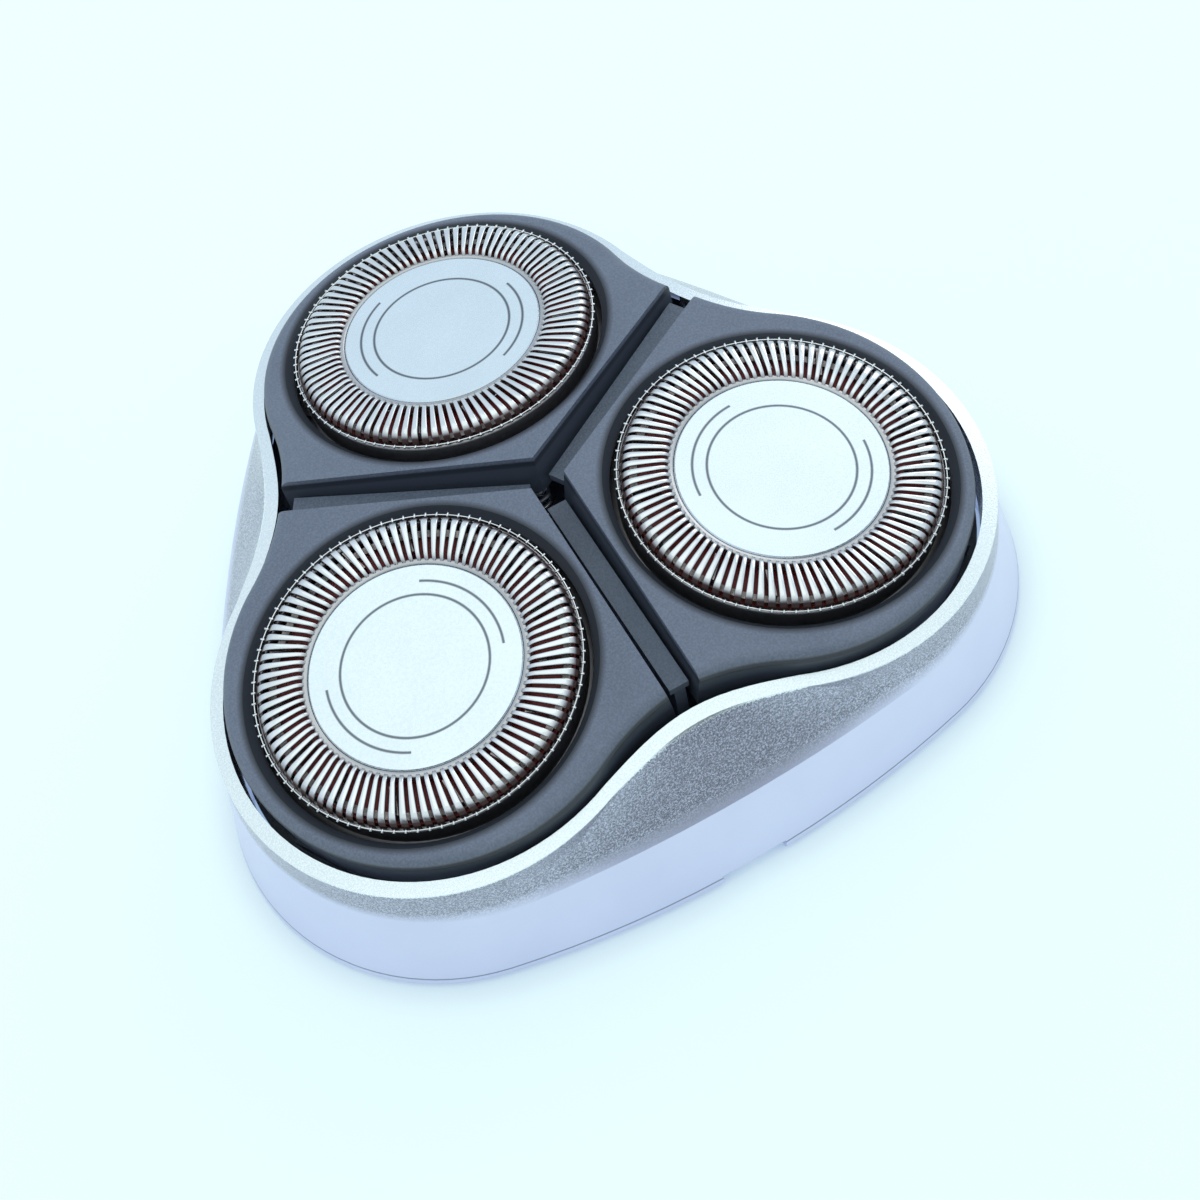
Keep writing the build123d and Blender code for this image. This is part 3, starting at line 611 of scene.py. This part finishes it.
def bar_shade_and_dullness():
    """How shaded and dull each point of a bar is: 0 on its polished top, and up to 1 on its flanks and outer
    slope.

    The share darkens the steel as painted shade and painted reflection, and makes it rougher. Each slope's
    share falls from its most to 0 between two heights of the crown, and a flank's does so between two heights
    on the section. The larger of the two counts.
    """
    reach, crown = BAR_PROFILE[:, 0], BAR_PROFILE[:, 1]
    outer_slope = np.interp(crown, (-0.05 * MM, 0.24 * MM), (1.0, 0.0)) * (reach > BAR_MIDDLE)
    inner_slope = np.interp(crown, (0.05 * MM, 0.25 * MM), (0.55, 0.0)) * (reach < BAR_MIDDLE)
    along = np.maximum(outer_slope, inner_slope)
    along = np.concatenate((along[:1], along, along[-1:]))
    flank = np.interp(np.sin(bar_turn), (-0.1, 0.75), (1.0, 0.0))
    shade_and_dull = np.maximum(along[:, None], flank[None])
    return np.broadcast_to(shade_and_dull, (BAR_COUNT, *shade_and_dull.shape))


bars = make_bars()
print("points in a guard's bars:", bars.shape)


# %% [markdown]
# ## The rest of a guard
#
# Under the bars a guard is turned: a cup for the disc, a wall and a flange. A profile turned about the axis
# makes each in one step. The flange has two notches for the petal's keys, so its distance from the axis also
# depends on the angle. Where the bars end, a fine rim joins them, and each bar leaves a short stub across it.

# %% Turned parts of a guard
TURNS = 180
# Distance from the axis and height, in mm, once round each closed section
CUP_SECTION = (
    (7.25, -0.5), (7.25, -0.06), (7.29, -0.02), (7.50, -0.01), (7.62, -0.02), (7.67, -0.08), (7.67, -0.85),
    (2.16, -0.85), (2.16, -1.85), (1.26, -1.85), (1.26, -0.85), (0.02, -0.85), (0.02, -0.5),
)
WALL_SECTION = (
    (10.7, -0.76), (10.75, -0.72), (10.92, -0.72), (10.97, -0.77), (11.0, -0.9), (11.0, -2.45), (11.05, -2.5),
    (11.9, -2.5), (11.95, -2.55), (11.95, -2.85), (11.9, -2.9), (10.65, -2.9), (10.65, -0.8),
)
NOTCH_HALF, NOTCH_REACH = 1.15 * MM, 11.16 * MM
RIM_REACH, RIM_DROP, RIM_HALF = 11.02 * MM, -0.4 * MM, 0.05 * MM
STUB_HALF, STUB_THICK, STUB_LIFT = 0.16 * MM, 0.085 * MM, 0.02 * MM
# The angles round a wire's section, which the rim, the stubs and the springs share
WIRE_SIDES = 8
wire_turn = np.arange(WIRE_SIDES) * 2 * pi / WIRE_SIDES
# The cup's and the wall's shares of painted shade, which also make them rougher.
CUP_SHADE_AND_DULLNESS, WALL_SHADE_AND_DULLNESS = 0.4, 0.6


def turned(section):
    """A closed section of distances and heights in mm, carried round the axis in even steps.

    What reaches past the notches' depth is held to it within half a notch's width of the sideways axis.
    """
    section = np.array(section) * MM
    angle = np.arange(TURNS) * 2 * pi / TURNS
    reach = np.broadcast_to(section[:, 0], (TURNS, len(section)))
    across = np.abs(reach * np.cos(angle)[:, None])
    in_notch = (across < NOTCH_HALF) & (reach > NOTCH_REACH)
    reach = np.where(in_notch, NOTCH_REACH, reach)
    height = np.broadcast_to(section[:, 1], reach.shape)
    return np.stack((reach * np.cos(angle)[:, None], reach * np.sin(angle)[:, None], height), axis=-1)


def thin_rim():
    """A torus: a small circle, carried round the axis at the rim's distance, with its faces turned out."""
    reach = RIM_REACH + RIM_HALF * np.cos(-wire_turn)
    height = RIM_DROP + RIM_HALF * np.sin(-wire_turn)
    return turned(np.stack((reach, height), axis=1) / MM)


def stubs():
    """A short rod across the rim for each bar: an eight-sided tube that shrinks to a point at both ends."""
    along = np.array((-1, -1, 1, 1)) * STUB_HALF
    thick = np.array((0, 1, 1, 0)) * STUB_THICK
    start = bar_starts + (RIM_REACH - BAR_MIDDLE) * np.tan(BAR_SLANT) / RIM_REACH
    angle = start[:, None, None] + thick[:, None] * np.cos(wire_turn) / RIM_REACH
    reach = np.broadcast_to(RIM_REACH + along[:, None], angle.shape)
    height = np.broadcast_to(RIM_DROP + thick[:, None] * np.sin(wire_turn) + STUB_LIFT, angle.shape)
    return np.stack((reach * np.cos(angle), reach * np.sin(angle), height), axis=-1)


def gather(*grids):
    """Several grids as one mesh: points, quads, each point's painted shade and dullness and each quad's
    material.

    A grid is given as (points, painted shade and dullness, material, rows close, columns close).
    """
    points, faces, shade_and_dull, finish, start = [], [], [], [], 0
    for grid, shade_and_dullness, material, closed_rows, closed_columns in grids:
        rows, columns = grid.shape[-3], grid.shape[-2]
        for part in grid.reshape(-1, rows, columns, 3):
            points.append(part.reshape(-1, 3))
            faces.append(grid_faces(rows, columns, closed_rows, closed_columns, start))
            finish.append(np.full(len(faces[-1]), material))
            start += rows * columns
        shade_and_dull.append(np.broadcast_to(shade_and_dullness, grid.shape[:-1]).ravel())
    return tuple(np.concatenate(part) for part in (points, faces, shade_and_dull, finish))


BAR_FINISH, RIM_FINISH = 0, 1
guard_points, guard_faces, guard_shade_and_dull, guard_finish = gather(
    (bars, bar_shade_and_dullness(), BAR_FINISH, False, True),
    (turned(CUP_SECTION), CUP_SHADE_AND_DULLNESS, BAR_FINISH, True, True),
    (turned(WALL_SECTION), WALL_SHADE_AND_DULLNESS, BAR_FINISH, True, True),
    (thin_rim(), 0.0, RIM_FINISH, True, True),
    (stubs(), 0.0, RIM_FINISH, False, True),
)
print("quads in a guard:", len(guard_faces))

# %% Seat the guards


def seat(points, head):
    """Points of the head's own frame, in the object's frame."""
    matrix = np.array(head)
    return points @ matrix[:3, :3].T + matrix[:3, 3]


for number, head in enumerate(heads, 1):
    guard = link_mesh(
        f"slotted_guard_{number}", seat(guard_points, head), guard_faces, f"cap_{number}",
        (guard_steel, rim_steel), guard_shade_and_dull, guard_finish,
    )
    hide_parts(f"cap_{number}")

# %% [markdown]
# ## Springs
#
# Each petal tilts against a coil under its inner tip. The solid coil can't shorten, and a coil of the same
# size, with a mesh of its own, stands for it here: a circle carried along a helix whose ends lie flat, as a
# ground spring's do.

# %% Springs
SPRING_TURNS, SPRING_RADIUS, SPRING_WIRE = 6, 0.78 * MM, 0.13 * MM
STEPS_PER_TURN = 24


def coil(low, high):
    """A small circle carried along a helix in the box between two corners, as rows of points.

    The angle grows evenly along the wire. The height grows by one wire's thickness in the first turn and in
    the last, and evenly between, so the ends lie flat. At both ends the circle shrinks to a point. SPRING_WIRE
    is the circle's radius.
    """
    turn = np.linspace(0, 2 * pi * SPRING_TURNS, STEPS_PER_TURN * SPRING_TURNS + 1)
    low_line, high_line = low[2] + SPRING_WIRE, high[2] - SPRING_WIRE
    rise = np.interp(
        turn, (0, 2 * pi, turn[-1] - 2 * pi, turn[-1]),
        (low_line, low_line + 2 * SPRING_WIRE, high_line - 2 * SPRING_WIRE, high_line),
    )
    turn, rise = np.pad(turn, 1, mode="edge"), np.pad(rise, 1, mode="edge")
    wire = np.full((len(turn), 1), SPRING_WIRE)
    wire[[0, -1]] = 0.0
    reach = SPRING_RADIUS + wire * np.cos(-wire_turn)
    middle = [(low[axis] + high[axis]) / 2 for axis in (0, 1)]
    return np.stack((
        middle[0] + reach * np.cos(turn)[:, None],
        middle[1] + reach * np.sin(turn)[:, None],
        rise[:, None] + wire * np.sin(-wire_turn),
    ), axis=-1)


for number in (1, 2, 3):
    low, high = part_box(f"petal_spring_{number}")
    points, faces, shade_and_dull, finish = gather((coil(low, high), 0.0, 0, False, True))
    spring = link_mesh(f"coiled_spring_{number}", points, faces, "housing", (small_steel,), shade_and_dull, finish)
    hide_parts(f"petal_spring_{number}")
    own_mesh(spring)

# %% [markdown]
# ## Floor and light
#
# The photograph has a pale table with only a soft shadow, and soft light from all round above. So the world is
# a pale dome, a little brighter overhead, and of two wide lamps the stronger one, at the side, gives the
# shadow its direction. The table shows its pale colour to the camera and to whatever reflects it, by the Light
# Path node, and still takes the shadow. Close to the foot its own colour turns a darker blue, a painted
# contact shadow where the object covers the sky. Behind the table's edge the camera sees nearly the same
# colour, so from a low place the edge is only faint.

# %% Floor
FLOOR_HALF = 1.2
# How much of what the camera sees is the table's own light, and how strong that light is
OWN_SHARE, OWN_STRENGTH = 0.45, 1.68
CONTACT_REACH = 2.5 * MM
# The darker blue near the foot is a painted contact shadow.
CONTACT_SHADOW_TONE, OPEN_TONE = (0.18, 0.28, 0.6), (0.58, 0.79, 1.0)
floor_mesh = bpy.data.meshes.new("table_top")
corners = np.array([(-1, -1, 0), (1, -1, 0), (1, 1, 0), (-1, 1, 0)], float) * FLOOR_HALF
floor_mesh.from_pydata(corners.tolist(), [], [(0, 1, 2, 3)])
table_top = bpy.data.objects.new("table_top", floor_mesh)
bpy.context.scene.collection.objects.link(table_top)
table_top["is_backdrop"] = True

pale, tree, shader = start_material("pale_table", Base_Color=(0.96, 0.93, 0.62), Roughness=0.75)
open_sky = add_node(tree, "ShaderNodeAmbientOcclusion", {"Distance": CONTACT_REACH}, samples=4).outputs["AO"]
own_colour = mix_colours(tree, open_sky, CONTACT_SHADOW_TONE, OPEN_TONE)
own_light = add_node(tree, "ShaderNodeEmission", {"Color": own_colour, "Strength": OWN_STRENGTH})
path = add_node(tree, "ShaderNodeLightPath")
seen = path.outputs["Is Camera Ray"]
for ray in ("Is Glossy Ray", "Is Transmission Ray"):
    seen = calculate(tree, "MAXIMUM", seen, path.outputs[ray])
share = calculate(tree, "MULTIPLY", seen, OWN_SHARE)
blend = add_node(tree, "ShaderNodeMixShader", {
    0: share, 1: shader.outputs["BSDF"], 2: own_light.outputs["Emission"],
})
tree.links.new(blend.outputs["Shader"], tree.nodes["Material Output"].inputs["Surface"])
floor_mesh.materials.append(pale)
print("table's edge in m:", 2 * FLOOR_HALF)

# %% World
# The sines of two angles above the horizon, between which the room turns into the brighter ceiling
ROOM_EDGES = (0.45, 0.9)
ROOM_TONES = (0.66, 0.78, 0.9), (0.86, 0.98, 1.0)
HORIZON_TONE = (0.83, 1.0, 1.0)

world = bpy.data.worlds.new("soft_room")
bpy.context.scene.world = world
world.use_nodes = True
tree = world.node_tree
backdrop = tree.nodes["Background"]
skyward = add_node(tree, "ShaderNodeTexCoord").outputs["Generated"]
rise = add_node(tree, "ShaderNodeSeparateXYZ", {"Vector": skyward}).outputs["Z"]
room = mix_colours(tree, remap(tree, rise, *ROOM_EDGES), *ROOM_TONES)
looked_at = add_node(tree, "ShaderNodeLightPath").outputs["Is Camera Ray"]
tree.links.new(mix_colours(tree, looked_at, room, HORIZON_TONE), backdrop.inputs["Color"])

# %% [markdown]
# ## A dark card for the metal
#
# Polished and lacquered surfaces are only as dark as what they reflect, and under an even dome they turn
# white. In the photograph the scooped waist reflects something dark on the camera's side. A grey card, which
# the camera itself doesn't see, stands there, bent round the object like a screen.

# %% Card
CARD_REACH, CARD_LOW, CARD_HIGH = 0.45, 0.03, 0.3
CARD_MIDDLE, CARD_HALF_SPAN = radians(-98.0), radians(55.0)
CARD_COLUMNS = 24


def bent_card():
    """An upright strip of a cylinder round the Z axis: its angle runs along it and its height across it."""
    angle = np.linspace(CARD_MIDDLE - CARD_HALF_SPAN, CARD_MIDDLE + CARD_HALF_SPAN, CARD_COLUMNS)
    angle, height = np.meshgrid(angle, (CARD_LOW, CARD_HIGH))
    return np.stack((CARD_REACH * np.cos(angle), CARD_REACH * np.sin(angle), height), axis=-1)


card_mesh = bpy.data.meshes.new("grey_card")
card_quads = grid_faces(2, CARD_COLUMNS, False, False)
card_mesh.from_pydata(bent_card().reshape(-1, 3).tolist(), [], card_quads.tolist())
grey_card = bpy.data.objects.new("grey_card", card_mesh)
bpy.context.scene.collection.objects.link(grey_card)
grey_card.visible_camera = False
grey_card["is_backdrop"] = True
card_mesh.materials.append(start_material("card_grey", Base_Color=(0.15, 0.155, 0.17), Roughness=0.8)[0])
print("quads in the card:", len(card_quads))

# %% Lamps
LAMP_AIM = (0, 0, 0.01)


def soft_lamp(name, place, size, radiance, colour):
    """A square lamp that faces the head. Its power is its radiance times pi times its area."""
    lamp = bpy.data.lights.new(name, "AREA")
    lamp.shape = "SQUARE"
    lamp.size = size
    lamp.energy = radiance * pi * size**2
    lamp.color = colour
    holder = bpy.data.objects.new(name, lamp)
    holder.location = place
    holder.rotation_mode = "QUATERNION"
    holder.rotation_quaternion = (Vector(LAMP_AIM) - Vector(place)).to_track_quat("-Z", "Y")
    bpy.context.scene.collection.objects.link(holder)
    print(name, "in W:", round(lamp.energy, 3))


soft_lamp("overhead_lamp", (0.05, 0.16, 0.6), size=0.5, radiance=0.22, colour=(1.0, 0.97, 0.9))
soft_lamp("side_lamp", (0.55, 0.36, 0.4), size=0.36, radiance=1.2, colour=(1.0, 0.97, 0.92))

# %% [markdown]
# ## Colour and the dressed box
#
# The Standard view shows a colour as it is written. The box of the dressed part is printed, in mm.

# %% Finish
bpy.context.scene.view_settings.view_transform = "Standard"
low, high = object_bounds()
print("dressed box in mm:", [round(1000 * value, 2) for value in high - low])
